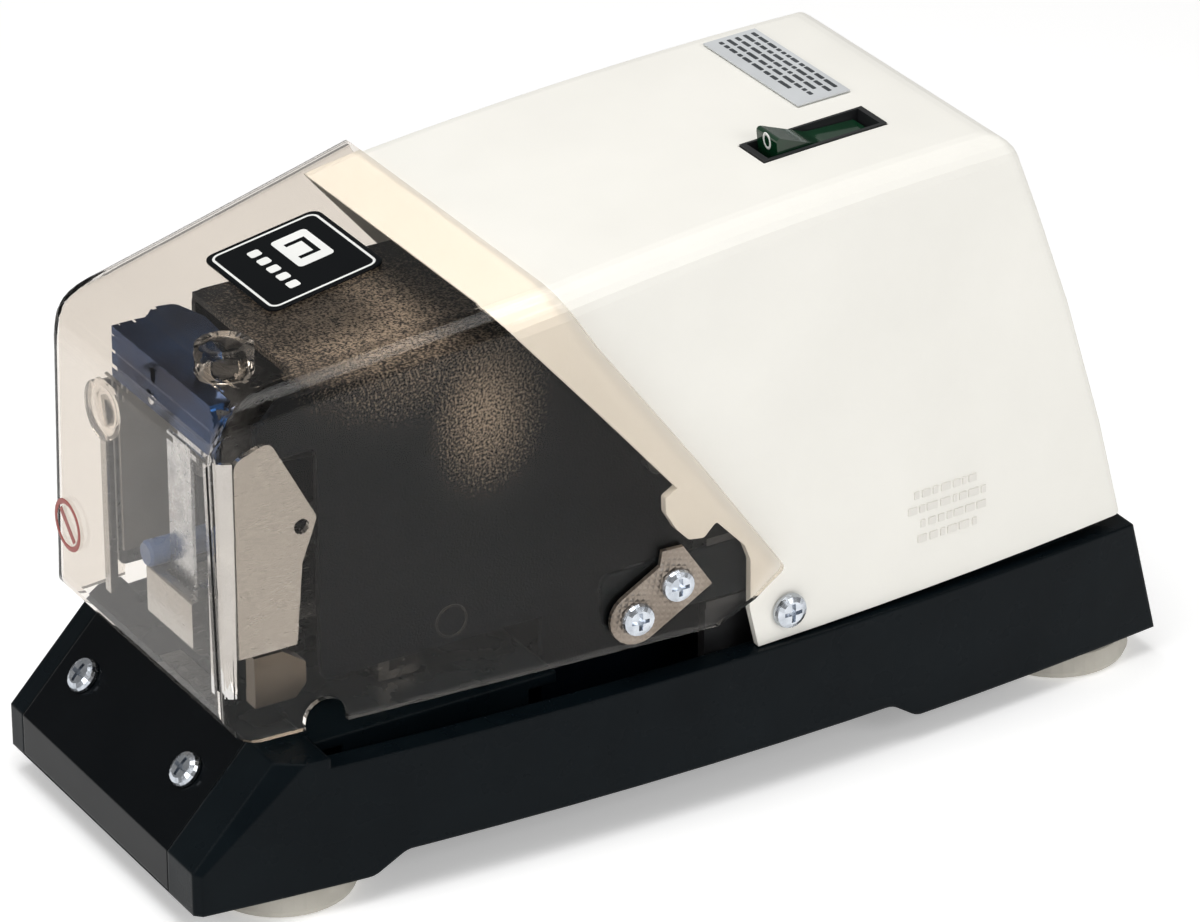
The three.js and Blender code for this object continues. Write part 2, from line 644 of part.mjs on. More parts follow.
function magazineArm(s) {
  const [near, far] = [CHANNEL.half + GAP, CHANNEL.half + GAP + 1.8];
  const [x0, x1] = s > 0 ? [near, far] : [-far, -near];
  let arm = join(prismX([
    [-112, 59.5], [-112, 71.8, 2], [-98, 71.8, 3], [-90, 77.5, 4], [-40, 82, 6], [-10, 96, 6], [8, 92, 5], [5, 80, 5], [-18, 70, 5], [-18, 59.5],
  ], x0, x1), hub(10, x0, x1));
  if (s < 0) {
    const ear = prismY([
      [-15.8, 66, 1.5], [-10.6, 66], [-10.6, 72.3], [-4.6, 72.3], [-4.6, 81.6, 2], [-15.8, 81.6, 2],
    ], -103, -98);
    arm = cut(join(arm, ear), rod(3.9, [LATCH.x, -110, LATCH.z], Y, 16, 24));
  }
  return cut(arm, hub(4.35, -20, 20));
}
add('magazine_arm_left', magazineArm(-1), LOOK.nickel);
add('magazine_arm_right', magazineArm(1), LOOK.nickel);

const stripOuter = box(-6.4, 6.4, -113.5, -62, 60.3, 69);
add('staple_strip', cut(stripOuter, box(-5.5, 5.5, -120, -50, 50, 68.1)), LOOK.zinc);

const followerBlock = prismX([
  [-61.6, 60.4], [-61.6, 70.4, 1], [-56, 71, 1], [-49, 66, 2], [-49, 60.4],
], -6.2, 6.2);
add('follower', followerBlock, LOOK.blackPlastic);
const springRoll = turned([[1.6, 0], [4.2, 0], [4.2, 9], [1.6, 9], [1.6, 0]], [-4.5, -43.5, 65], X, 28);
add('follower_spring_roll', springRoll, LOOK.steel);

const latch = turned([
  [0, 0], [2.9, 0], [3.5, 0.8], [3.5, 21.6], [2.4, 22], [2.4, 23.8], [0, 23.8],
], [LATCH.x, -123.6, LATCH.z], Y, 28);
add('latch_button', latch, LOOK.blue);

// ---------------------------------------------------------------- solenoid

const plunger = turned([
  [0, 70], [6.5, 70], [6.5, 73.6], [3, 73.6], [3, 103], [8, 103], [8, 126], [0, 130],
], [0, PLUNGER_Y, 0], Z, 32);
add('plunger', plunger, LOOK.steel);

function solenoidYoke() {
  const ring = prismY([[-25, 100.3, 2], [25, 100.3, 2], [25, 146, 2], [-25, 146, 2]], 47, 77);
  const window = box(-21, 21, 40, 90, 104.3, 142);
  return cut(ring, window, rod(8.6, [0, PLUNGER_Y, 95], Z, 12, 32));
}
add('solenoid_yoke', solenoidYoke(), LOOK.steel);

const coil = turned([
  [8.6, 104.6], [20.4, 104.6], [20.4, 106.4], [19, 106.4], [19, 139.9], [20.4, 139.9], [20.4, 141.7],
  [8.6, 141.7], [8.6, 104.6],
], [0, PLUNGER_Y, 0], Z, 40);
add('solenoid_coil', coil, LOOK.copper);

const bracketSides = [-1, 1].map((s) => box(s * 26.8 - 1.5, s * 26.8 + 1.5, 49, 76, BASE.floorTop + GAP, 142));
const bracketFloor = box(-28, 28, 49, 76, BASE.floorTop + GAP, BASE.floorTop + GAP + 3);
add('solenoid_bracket', join(bracketFloor, ...bracketSides), LOOK.nickel);

// Return spring under the tail of the driver arm.
class Helix extends THREE.Curve {
  constructor(radius, low, high, turns) {
    super();
    Object.assign(this, { radius, low, high, turns });
  }

  getPoint(t, target = new THREE.Vector3()) {
    const angle = 2 * Math.PI * this.turns * t;
    const height = this.low + (this.high - this.low) * t;
    return target.set(this.radius * Math.cos(angle), this.radius * Math.sin(angle), height);
  }
}

const SPRING = { y: 36, radius: 6, wire: 0.9, low: 18.4, high: 75.2, turns: 11 };
const wireShape = new THREE.Shape(arc(0, 0, SPRING.wire, 0, 300, 5).map(([u, v]) => new THREE.Vector2(u, v)));
const springWire = new THREE.ExtrudeGeometry(wireShape, {
  steps: SPRING.turns * 12,
  extrudePath: new Helix(SPRING.radius, SPRING.low, SPRING.high, SPRING.turns),
});
add('return_spring', solidOf(springWire.translate(0, SPRING.y, 0)), LOOK.zinc);

// ---------------------------------------------------------------- electronics

add('circuit_board', box(-46, -44.4, 42, 98, 60, 110), LOOK.board);
const can = turned([
  [0, 0], [10.4, 0], [11, 0.8], [11, 43], [10.4, 44], [0, 44],
], [34, 104, BASE.floorTop + GAP], Z, 32);
add('capacitor', can, LOOK.blackPlastic);

// ---------------------------------------------------------------- hood

// One level of the hood: straight sides, two rounded corners and the front wall. The sides and the
// front have their own inset and height, because the rounding over the front is the larger one.
function hoodRing(side, front, corner, rear) {
  const centreY = HOOD.front + front.inset + corner;
  const right = [];
  for (let k = 0; k <= 10; k++) {
    const y = rear + (centreY - rear) * k / 10;
    const z = side.height(y);
    right.push(new THREE.Vector3(hoodHalfWidth(y, z) - side.inset, y, z));
  }
  const edge = right[right.length - 1].x - corner;
  for (let k = 1; k <= 6; k++) {
    const a = Math.PI / 2 * k / 6;
    const y = centreY - corner * Math.sin(a);
    const mix = Math.sin(a) ** 2;
    const z = side.height(y) * (1 - mix) + front.height(y) * mix;
    right.push(new THREE.Vector3(edge + corner * Math.cos(a), y, z));
  }
  const last = right[right.length - 1];
  for (const f of [0.6, 0.2]) right.push(new THREE.Vector3(edge * f, last.y, last.z));
  return [...right, ...right.map((p) => new THREE.Vector3(-p.x, p.y, p.z)).reverse()];
}

function hoodBody(offset, low, rear) {
  const rings = [];
  const corner = Math.max(HOOD.cornerRadius - offset, 1.5);
  const shoulder = (radius, level) => (y) => low + (hoodTop(y) - radius - low) * level;
  for (const level of [0, 0.4, 0.75]) {
    const side = { inset: offset, height: shoulder(HOOD.sideRadius, level) };
    const front = { inset: offset, height: shoulder(HOOD.browRadius, level) };
    rings.push(hoodRing(side, front, corner, rear));
  }
  for (let k = 0; k <= 8; k++) {
    const a = Math.PI / 2 * k / 8;
    const level = (radius) => ({
      inset: offset + (radius - offset) * (1 - Math.cos(a)),
      height: (y) => hoodTop(y) - offset - (radius - offset) * (1 - Math.sin(a)),
    });
    rings.push(hoodRing(level(HOOD.sideRadius), level(HOOD.browRadius), corner, rear));
  }
  return loft(rings);
}

// Side view of the hood: rounded front foot, finger notch, lower rear chamfer and slanting rear edge.
const hoodSide = [
  [-150, 60], ...arc(-123, 60, 10, 180, 270, 6), [-111.4, 50.3],
  ...arc(-105.6, 51.8, 5.9, 180, 0, 10), [-99.9, 50.4], [2.3, 52], [13, 57.5], [21.4, 64.8, 2],
  [-3.6, 100.4], [-31.8, 138.8], [-44.4, 158.4], [-44.4, 185], [-150, 185],
];

const BRACKET = {
  axis: new THREE.Vector2(12.3, 8.1).normalize(),
  low: [-21.6, 61.2],
  high: [-10.4, 68.4],
  thickness: 1.3,
};
const bracketYaw = Math.atan(0.0875 + 0.0075);
const bracketSpot = { y: -16, z: 65.3 };

function hood() {
  let shell = cut(hoodBody(0, 42, 40), hoodBody(HOOD.wall, 30, 50));
  shell = shell.intersect(prismX(hoodSide, -90, 90));
  for (const s of [-1, 1]) {
    for (const [y, z] of [BRACKET.low, BRACKET.high]) {
      shell = cut(shell, rod(SCREW.shank + 0.5, [s * 48, y, z], X.clone().multiplyScalar(s), 20, 20));
    }
  }
  return shell;
}
add('hood', hood(), LOOK.clear);

// Badge on the hood's sloping top.
const badgeTilt = Math.atan(12.5 / 70);
const badge = new THREE.Group();
badge.position.set(-5.85, -82.6, hoodTop(-82.6) + 0.3);
badge.rotation.x = badgeTilt;
stapler.add(badge);
add('hood_badge', prismZ([[-18, -16.6, 3], [18, -16.6, 3], [18, 16.6, 3], [-18, 16.6, 3]], 0, 0.5),
  LOOK.blackGloss, badge);

const warningDisc = rod(7.3, [-37.6, HOOD.front - 0.3, 75.5], Y.clone().negate(), 0.35, 40);
add('warning_label', warningDisc, LOOK.red);

function bracketPlate(s) {
  const along = BRACKET.axis;
  const across = new THREE.Vector2(-along.y, along.x);
  const place = (a, b) => {
    const p = new THREE.Vector2(BRACKET.low[0] - bracketSpot.y, BRACKET.low[1] - bracketSpot.z);
    p.addScaledVector(along, a).addScaledVector(across, b);
    return [p.x, p.y];
  };
  const round = [];
  for (let k = 0; k <= 10; k++) {
    const angle = Math.PI / 2 + Math.PI * k / 10;
    round.push(place(7.4 * Math.cos(angle), 7.4 * Math.sin(angle)));
  }
  const corners = [...round, place(20.5, -7.4), place(20.5, 7.4), place(15.5, 10.6), place(12.6, 7.4)];
  const [x0, x1] = s > 0 ? [0, BRACKET.thickness] : [-BRACKET.thickness, 0];
  let plate = prismX(corners, x0, x1);
  for (const [y, z] of [BRACKET.low, BRACKET.high]) {
    plate = cut(plate, rod(SCREW.shank + GAP, [-6, y - bracketSpot.y, z - bracketSpot.z], X, 12, 20));
  }
  return plate;
}

const RAIL = { x0: 51.4, x1: 53, y0: -29, y1: 50, z0: 57.2, z1: 72.6 };

for (const [side, s] of [['left', -1], ['right', 1]]) {
  const seat = new THREE.Group();
  seat.position.set(s * (hoodHalfWidth(bracketSpot.y, bracketSpot.z) + 0.5), bracketSpot.y, bracketSpot.z);
  seat.rotation.z = -s * bracketYaw;
  stapler.add(seat);
  add(`hood_bracket_${side}`, bracketPlate(s), LOOK.nickel, seat);
  for (const [place, [y, z]] of [['front', BRACKET.low], ['rear', BRACKET.high]]) {
    const origin = [s * (BRACKET.thickness + GAP), y - bracketSpot.y, z - bracketSpot.z];
    add(`bracket_screw_${place}_${side}`, panScrew(origin, X.clone().multiplyScalar(s), 7.5, 4.5, 2.2),
      LOOK.zinc, seat);
  }

  // A flat rail behind the hood's side runs back into a guide inside the casing.
  const [a, b] = s > 0 ? [RAIL.x0, RAIL.x1] : [-RAIL.x1, -RAIL.x0];
  let rail = prismX([
    [RAIL.y0, RAIL.z0, 3], [RAIL.y1, RAIL.z0, 3], [RAIL.y1, RAIL.z1, 3], [RAIL.y0, RAIL.z1, 3],
  ], a, b);
  for (const [y, z] of [BRACKET.low, BRACKET.high]) {
    rail = cut(rail, rod(SCREW.shank + 0.6, [s * 45, y, z], X.clone().multiplyScalar(s), 15, 20));
  }
  add(`hood_rail_${side}`, rail, LOOK.nickel);

  const guideBack = s > 0 ? box(46.5, 51, 2, 30, 54.7, 75.1) : box(-51, -46.5, 2, 30, 54.7, 75.1);
  const lips = [[54.7, 56.8], [73, 75.1]].map(([z0, z1]) => (
    s > 0 ? box(50, 53.2, 2, 30, z0, z1) : box(-53.2, -50, 2, 30, z0, z1)));
  const guideLeg = s > 0 ? box(46.5, 49.5, 4, 28, BASE.floorTop + GAP, 55)
    : box(-49.5, -46.5, 4, 28, BASE.floorTop + GAP, 55);
  add(`rail_guide_${side}`, join(guideBack, ...lips, guideLeg), LOOK.blackPlastic);
}

export default stapler;
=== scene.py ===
import math
import random

import bmesh
import bpy
from mathutils import Matrix, Vector


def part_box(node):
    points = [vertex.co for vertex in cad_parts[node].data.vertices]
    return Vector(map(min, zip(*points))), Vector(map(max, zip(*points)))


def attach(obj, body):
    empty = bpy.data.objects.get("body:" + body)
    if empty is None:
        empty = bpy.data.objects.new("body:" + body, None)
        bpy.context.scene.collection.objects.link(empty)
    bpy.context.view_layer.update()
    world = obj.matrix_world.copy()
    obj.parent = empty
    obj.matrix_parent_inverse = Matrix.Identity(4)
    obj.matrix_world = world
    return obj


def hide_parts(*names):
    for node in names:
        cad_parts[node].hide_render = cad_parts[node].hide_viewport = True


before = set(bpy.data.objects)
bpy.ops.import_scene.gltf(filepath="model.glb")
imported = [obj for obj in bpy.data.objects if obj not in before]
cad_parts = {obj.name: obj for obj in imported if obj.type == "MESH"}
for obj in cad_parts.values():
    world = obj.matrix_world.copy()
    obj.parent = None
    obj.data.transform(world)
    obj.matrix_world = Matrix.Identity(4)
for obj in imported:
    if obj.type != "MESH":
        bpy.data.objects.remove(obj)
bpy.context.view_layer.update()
MM = 0.001


# ------------------------------------------------------------------ camera and studio

def look_at(obj, target):
    direction = Vector(target) - obj.location
    obj.rotation_euler = direction.to_track_quat("-Z", "Y").to_euler()


AZIMUTH = math.radians(58.904)
ELEVATION = math.radians(27.4605)
DISTANCE = 1.7015
TARGET = Vector((0, 0.002774, 0.07322))
LENS = 196.8
SENSOR = 36
NEAR_CLIP = 0.05


def camera():
    """Long lens, from the front right and above."""
    data = bpy.data.cameras.new("camera")
    data.lens = LENS
    data.sensor_width = SENSOR
    data.clip_start = NEAR_CLIP
    obj = bpy.data.objects.new("camera", data)
    bpy.context.collection.objects.link(obj)
    flat = math.cos(ELEVATION) * DISTANCE
    height = math.sin(ELEVATION) * DISTANCE
    obj.location = TARGET + Vector((flat * math.sin(AZIMUTH), -flat * math.cos(AZIMUTH), height))
    look_at(obj, TARGET)
    bpy.context.scene.camera = obj


MIDDLE = (0, 0, 0.08)
FLOOR_SIZE = 12
LAMPS = (
    # name, place, size, watts
    ("key_top", (0.1, -0.25, 1.25), (0.9, 0.7), 9.6),
    ("key_front", (0.15, -1.15, 0.62), (0.55, 0.4), 3.0),
    ("side_right", (1.2, 0.35, 0.75), (0.7, 0.5), 4.3),
)


def area_light(name, place, size, watts):
    data = bpy.data.lights.new(name, "AREA")
    data.shape = "RECTANGLE"
    data.size, data.size_y = size
    data.energy = watts
    obj = bpy.data.objects.new(name, data)
    bpy.context.collection.objects.link(obj)
    obj.location = place
    look_at(obj, MIDDLE)


def studio():
    """White floor that glows a little, a faintly warm sky and three soft lamps."""
    world = bpy.data.worlds.new("studio")
    bpy.context.scene.world = world
    world.use_nodes = True
    sky = world.node_tree.nodes["Background"]
    sky.inputs["Color"].default_value = (1, 0.99, 0.975, 1)
    sky.inputs["Strength"].default_value = 0.3
    for lamp in LAMPS:
        area_light(*lamp)
    bpy.ops.mesh.primitive_plane_add(size=FLOOR_SIZE, location=(0, 0, 0))
    floor = bpy.context.object
    floor.name = "floor"
    material = bpy.data.materials.new("floor")
    material.use_nodes = True
    shader = material.node_tree.nodes["Principled BSDF"]
    shader.inputs["Base Color"].default_value = (0.93, 0.93, 0.93, 1)
    shader.inputs["Roughness"].default_value = 0.9
    shader.inputs["Emission Color"].default_value = (1, 1, 1, 1)
    shader.inputs["Emission Strength"].default_value = 0.3
    floor.data.materials.append(material)
    view = bpy.context.scene.view_settings
    view.view_transform = "Standard"
    view.look = "None"


# ------------------------------------------------------------------ materials

NOISE_LOW = 0.3   # a noise texture stays mostly between these two values
NOISE_HIGH = 0.7


class Nodes:
    """Short helpers around one material's node tree."""

    def __init__(self, name):
        self.material = bpy.data.materials.new(name)
        self.material.use_nodes = True
        self.tree = self.material.node_tree
        self.shader = self.tree.nodes["Principled BSDF"]
        self.coordinates = self.tree.nodes.new("ShaderNodeTexCoord").outputs["Object"]

    def set(self, **values):
        """Sets shader inputs: specular_ior_level becomes "Specular IOR Level"."""
        for key, value in values.items():
            label = key.replace("_", " ").title().replace("Ior", "IOR")
            self.shader.inputs[label].default_value = value

    def link(self, source, target):
        self.tree.links.new(source, target)

    def combine(self, operation, first, second):
        node = self.tree.nodes.new("ShaderNodeMath")
        node.operation = operation
        self.link(first, node.inputs[0])
        self.link(second, node.inputs[1])
        return node.outputs[0]

    def noise(self, scale, detail, stretch=(1, 1, 1)):
        mapping = self.tree.nodes.new("ShaderNodeMapping")
        mapping.inputs["Scale"].default_value = stretch
        self.link(self.coordinates, mapping.inputs["Vector"])
        node = self.tree.nodes.new("ShaderNodeTexNoise")
        node.inputs["Scale"].default_value = scale
        node.inputs["Detail"].default_value = detail
        self.link(mapping.outputs["Vector"], node.inputs["Vector"])
        return node.outputs["Fac"]

    def ramp(self, source, *stops):
        node = self.tree.nodes.new("ShaderNodeValToRGB")
        ramp = node.color_ramp
        while len(ramp.elements) < len(stops):
            ramp.elements.new(0.5)
        for element, (position, color) in zip(ramp.elements, stops):
            element.position = position
            element.color = (*color, 1)
        self.link(source, node.inputs["Fac"])
        return node.outputs["Color"]

    def spread(self, source, low, high):
        """Stretches a noise value to run from low to high."""
        node = self.tree.nodes.new("ShaderNodeMapRange")
        node.inputs["From Min"].default_value = NOISE_LOW
        node.inputs["From Max"].default_value = NOISE_HIGH
        node.inputs["To Min"].default_value = low
        node.inputs["To Max"].default_value = high
        self.link(source, node.inputs["Value"])
        return node.outputs["Result"]

    def color(self, source, dark, light):
        mixed = self.ramp(source, (NOISE_LOW, dark), (NOISE_HIGH, light))
        self.link(mixed, self.shader.inputs["Base Color"])

    def rough(self, source, low, high):
        self.link(self.spread(source, low, high), self.shader.inputs["Roughness"])

    def bump(self, source, strength, distance=0.0001, edge=0.0):
        """Fine relief. edge, in millimetres, rounds sharp corners for the light."""
        node = self.tree.nodes.new("ShaderNodeBump")
        if edge:
            bevel = self.tree.nodes.new("ShaderNodeBevel")
            bevel.samples = 6
            bevel.inputs["Radius"].default_value = edge * MM
            self.link(bevel.outputs["Normal"], node.inputs["Normal"])
        node.inputs["Strength"].default_value = strength
        node.inputs["Distance"].default_value = distance
        self.link(source, node.inputs["Height"])
        self.link(node.outputs["Normal"], self.shader.inputs["Normal"])


def linear(level):
    """One sRGB channel, 0 to 255, as linear light."""
    share = level / 255
    return share / 12.92 if level <= 10 else ((share + 0.055) / 1.055) ** 2.4


def rgb(r, g, b):
    return linear(r), linear(g), linear(b)


def plain(name, dark, light, rough, scale, bump, fine, edge=0.0, **values):
    """Paint, plastic or smooth metal: slow drift in colour and roughness over a fine grain."""
    n = Nodes(name)
    n.set(**values)
    n.color(n.noise(scale, 4), dark, light)
    n.rough(n.noise(scale * 2.3, 3), *rough)
    n.bump(n.noise(fine, 2), bump, edge=edge)
    return n.material


def brushed(name, dark, light, rough, stretch, bump):
    """Metal with a grain that runs across the stretched direction."""
    n = Nodes(name)
    n.set(metallic=1.0)
    grain = n.noise(420, 3, stretch)
    n.color(grain, dark, light)
    n.rough(n.noise(336, 3, stretch), *rough)
    n.bump(grain, bump, 0.00005)
    return n.material


def clear_plastic():
    """Warm grey moulded plastic. Lamps shine through it, so what it covers stays lit."""
    n = Nodes("clear_plastic")
    n.set(transmission_weight=1.0, ior=1.22, metallic=0.0)
    n.color(n.noise(14, 2), rgb(235, 230, 224), rgb(239, 234, 228))
    n.rough(n.noise(30, 3), 0.0, 0.03)
    n.bump(n.noise(26, 1), 0.03, 0.0002)
    tree = n.tree
    through = tree.nodes.new("ShaderNodeBsdfTransparent")
    through.inputs["Color"].default_value = (*rgb(240, 236, 231), 1)
    path = tree.nodes.new("ShaderNodeLightPath")
    mix = tree.nodes.new("ShaderNodeMixShader")
    n.link(path.outputs["Is Shadow Ray"], mix.inputs["Fac"])
    n.link(n.shader.outputs["BSDF"], mix.inputs[1])
    n.link(through.outputs["BSDF"], mix.inputs[2])
    n.link(mix.outputs["Shader"], tree.nodes["Material Output"].inputs["Surface"])
    return n.material


PAINTED_SHEEN_PATCHES = (
    # painted sheen: warm grains standing for light reflected off the frame's roof and high on its side;
    # centre and half sizes in metres
    ((0.004, -0.070, 0.133), (0.056, 0.060, 0.030)),
    ((0.032, -0.049, 0.117), (0.030, 0.025, 0.036)),
)


def soft_ball(n, centre, size):
    """1 at the centre, falling to 0 at the half sizes."""
    mapping = n.tree.nodes.new("ShaderNodeMapping")
    mapping.vector_type = "TEXTURE"
    mapping.inputs["Location"].default_value = centre
    mapping.inputs["Scale"].default_value = size
    n.link(n.coordinates, mapping.inputs["Vector"])
    ball = n.tree.nodes.new("ShaderNodeTexGradient")
    ball.gradient_type = "SPHERICAL"
    n.link(mapping.outputs["Vector"], ball.inputs["Vector"])
    return ball.outputs["Fac"]


def crinkle_paint_and_sheen():
    """Black textured paint. Warm grains on the roof and high on the side are a painted sheen, standing for
    light reflected where it faces the light.
    """
    n = Nodes("crinkle_and_painted_sheen")
    n.set(metallic=0.0, specular_ior_level=0.1)
    grain = n.noise(1500, 2)
    roof, side = (soft_ball(n, centre, size) for centre, size in PAINTED_SHEEN_PATCHES)
    painted_sheen = n.combine("MULTIPLY", n.combine("MAXIMUM", roof, side), n.spread(grain, 0.1, 1.5))
    # the last stop is the colour of the painted sheen
    stops = (0.0, rgb(2, 7, 14)), (0.3, rgb(22, 24, 27)), (1.0, rgb(170, 156, 140))
    n.link(n.ramp(painted_sheen, *stops), n.shader.inputs["Base Color"])
    n.rough(n.noise(700, 2), 0.38, 0.5)
    n.bump(grain, 0.5, 0.00015)
    return n.material


HATCH_LEAN = 33     # degrees the brackets lean back, so the hatching runs along them
WAVE_PERIOD = 0.31  # a wave texture of scale 1 repeats every 0.31 m


def knurled(name, pitch):
    """Nickel with a cross-hatched grip pattern, the pitch in metres."""
    n = Nodes(name)
    n.set(metallic=1.0)
    n.color(n.noise(80, 3), rgb(132, 121, 110), rgb(164, 153, 142))
    waves = []
    for turn in (45, -45):
        mapping = n.tree.nodes.new("ShaderNodeMapping")
        mapping.inputs["Rotation"].default_value = (math.radians(turn - HATCH_LEAN), 0, 0)
        n.link(n.coordinates, mapping.inputs["Vector"])
        wave = n.tree.nodes.new("ShaderNodeTexWave")
        wave.bands_direction = "Z"
        wave.wave_profile = "TRI"
        wave.inputs["Scale"].default_value = WAVE_PERIOD / pitch
        n.link(mapping.outputs["Vector"], wave.inputs["Vector"])
        waves.append(wave.outputs["Fac"])
    least = n.combine("MINIMUM", *waves)
    n.rough(least, 0.5, 0.28)
    n.bump(least, 0.8, 0.0004)
    return n.material


PLAIN_LOOKS = {
    # name: dark, light, roughness, scale, bump, fine grain, other shader values
    "black_paint": (rgb(6, 12, 16), rgb(11, 18, 22), (0.24, 0.34), 40, 0.2, 1400,
                    {"edge": 1.1, "specular_ior_level": 0.07}),
    "black_gloss": (rgb(4, 7, 10), rgb(8, 11, 14), (0.16, 0.24), 30, 0.05, 500,
                    {"edge": 0.8, "specular_ior_level": 0.08}),
    "black_plastic": (rgb(24, 25, 27), rgb(34, 35, 37), (0.4, 0.55), 60, 0.3, 1600, {}),
    "off_white": (rgb(238, 236, 229), rgb(243, 241, 234), (0.38, 0.5), 22, 0.22, 1300,
                  {"specular_ior_level": 0.4}),
    "rubber": (rgb(178, 174, 164), rgb(196, 192, 182), (0.75, 0.9), 70, 0.4, 800, {}),
    "zinc": (rgb(176, 182, 190), rgb(214, 219, 226), (0.14, 0.3), 300, 0.15, 900, {"metallic": 1.0}),
    "blued": (rgb(14, 34, 70), rgb(36, 74, 124), (0.1, 0.2), 60, 0.03, 200, {"metallic": 1.0}),
    "bronze": (rgb(98, 90, 81), rgb(106, 98, 89), (0.28, 0.34), 40, 0.01, 300, {"metallic": 1.0}),
    "copper": (rgb(128, 64, 32), rgb(162, 92, 50), (0.3, 0.45), 500, 0.4, 1500, {"metallic": 0.6}),
    "green": (rgb(8, 40, 24), rgb(14, 58, 34), (0.08, 0.16), 50, 0.03, 400, {"coat_weight": 0.3}),
    "blue": (rgb(44, 72, 118), rgb(66, 96, 146), (0.25, 0.4), 60, 0.1, 700, {}),
    # the casing's off-white, made greyer as painted shade on the raised dashes
    "moulding_painted_shade": (rgb(222, 219, 212), rgb(230, 227, 220), (0.4, 0.5), 60, 0.1, 900, {}),
    "label": (rgb(196, 199, 201), rgb(208, 211, 213), (0.3, 0.4), 60, 0.05, 900, {}),
    "ink": (rgb(48, 52, 56), rgb(66, 70, 74), (0.35, 0.5), 60, 0.05, 900, {}),
    "white_ink": (rgb(232, 233, 230), rgb(243, 243, 240), (0.35, 0.45), 60, 0.05, 900, {}),
    "red": (rgb(138, 58, 50), rgb(158, 72, 62), (0.35, 0.45), 60, 0.05, 900, {}),
    "board": (rgb(20, 74, 40), rgb(32, 96, 54), (0.3, 0.45), 90, 0.15, 900, {}),
    "satin_grey": (rgb(128, 124, 120), rgb(146, 142, 138), (0.42, 0.55), 50, 0.08, 900, {"metallic": 0.7}),
    "chrome": (rgb(205, 208, 212), rgb(226, 229, 232), (0.05, 0.14), 40, 0.02, 300, {"metallic": 1.0}),
}
GRIP_PITCH = 0.0016


def all_materials():
    make = {}
    for name, (dark, light, rough, scale, bump, fine, values) in PLAIN_LOOKS.items():
        make[name] = plain(name, dark, light, rough, scale, bump, fine, **values)
    make["nickel"] = brushed("nickel", rgb(172, 169, 165), rgb(184, 181, 177), (0.2, 0.28), (1, 1, 12), 0.01)
    make["steel"] = brushed("steel", rgb(112, 112, 112), rgb(146, 146, 146), (0.25, 0.42), (12, 1, 1), 0.06)
    make["clear"] = clear_plastic()
    make["crinkle_and_painted_sheen"] = crinkle_paint_and_sheen()
    make["knurled"] = knurled("knurled", GRIP_PITCH)
    return make


LOOKS = {
    "black_paint": ["base_casting", "paper_table", "hood_rail_left", "hood_rail_right"],
    "crinkle_and_painted_sheen": ["machine_frame"],
    "black_gloss": ["front_plate", "hood_badge"],
    "black_plastic": ["microswitch", "rocker_housing", "inlet_housing", "capacitor", "follower",
                      "rail_guide_left", "rail_guide_right"],
    "off_white": ["casing"],
    "rubber": ["foot_front_left", "foot_front_right", "foot_rear_left", "foot_rear_right"],
    "clear": ["hood"],
    "zinc": ["front_screw_left", "front_screw_right", "casing_screw_left", "casing_screw_right",
             "bracket_screw_front_left", "bracket_screw_front_right", "bracket_screw_rear_left",
             "bracket_screw_rear_right", "driver_blade", "staple_strip", "return_spring"],
    "nickel": ["paper_stop", "guide_plate_right", "magazine_channel", "magazine_nose", "magazine_arm_left",
               "magazine_arm_right", "solenoid_bracket", "inlet_pin_neutral", "inlet_pin_earth",
               "inlet_pin_live"],
    "steel": ["anvil", "paper_trigger", "arm_pivot_pin", "guide_plate_left", "driver_arm", "plunger",
              "solenoid_yoke", "follower_spring_roll"],
    "blued": ["head_cap"],
    "bronze": ["guide_foot"],
    "copper": ["solenoid_coil"],
    "green": ["rocker_button"],
    "blue": ["latch_button"],
    "label": ["top_label", "switch_plunger"],
    "red": ["warning_label"],
    "board": ["circuit_board"],
    "knurled": ["hood_bracket_left", "hood_bracket_right"],
}


def dress(make):
    for look, nodes in LOOKS.items():
        for name in nodes:
            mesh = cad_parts[name].data
            mesh.materials.clear()
            mesh.materials.append(make[look])


# ------------------------------------------------------------------ mesh helpers

BEVEL_FROM = math.radians(40)  # edges sharper than this are rounded


def settle(name, mesh, look, body, bevel=0.0, smooth=True):
    """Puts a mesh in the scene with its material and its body."""
    obj = bpy.data.objects.new(name, mesh)
    bpy.context.collection.objects.link(obj)
    mesh.materials.append(MAKE[look])
    for polygon in mesh.polygons:
        polygon.use_smooth = smooth
    if bevel:
        modifier = obj.modifiers.new("edges", "BEVEL")
        modifier.width = bevel * MM
        modifier.segments = 2
        modifier.limit_method = "ANGLE"
        modifier.angle_limit = BEVEL_FROM
        modifier.harden_normals = True
    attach(obj, body)
    return obj


def mesh_from(bm, name):
    """Turns the faces outwards and writes the mesh."""
    bmesh.ops.recalc_face_normals(bm, faces=bm.faces)
    mesh = bpy.data.meshes.new(name)
    bm.to_mesh(mesh)
    bm.free()
    return mesh


def wall(bm, low, high):
    """Side faces between two closed rings of points."""
    count = len(low)
    for i in range(count):
        j = (i + 1) % count
        bm.faces.new((low[i], low[j], high[j], high[i]))


def arc(radius, first, last, steps, u=0.0, v=0.0):
    """Points on a circle about (u, v), from one angle to another, in degrees."""
    points = []
    for k in range(steps + 1):
        angle = math.radians(first + (last - first) * k / steps)
        points.append((u + radius * math.cos(angle), v + radius * math.sin(angle)))
    return points


def place(origin, x_axis, y_axis):
    """Matrix from a flat drawing in millimetres to the part, with the drawing's own X and Y directions."""
    x = Vector(x_axis).normalized()
    z = x.cross(Vector(y_axis)).normalized()
    y = z.cross(x)
    turn = Matrix((x, y, z)).transposed().to_4x4()
    return Matrix.Translation(Vector(origin) * MM) @ turn @ Matrix.Scale(MM, 4)


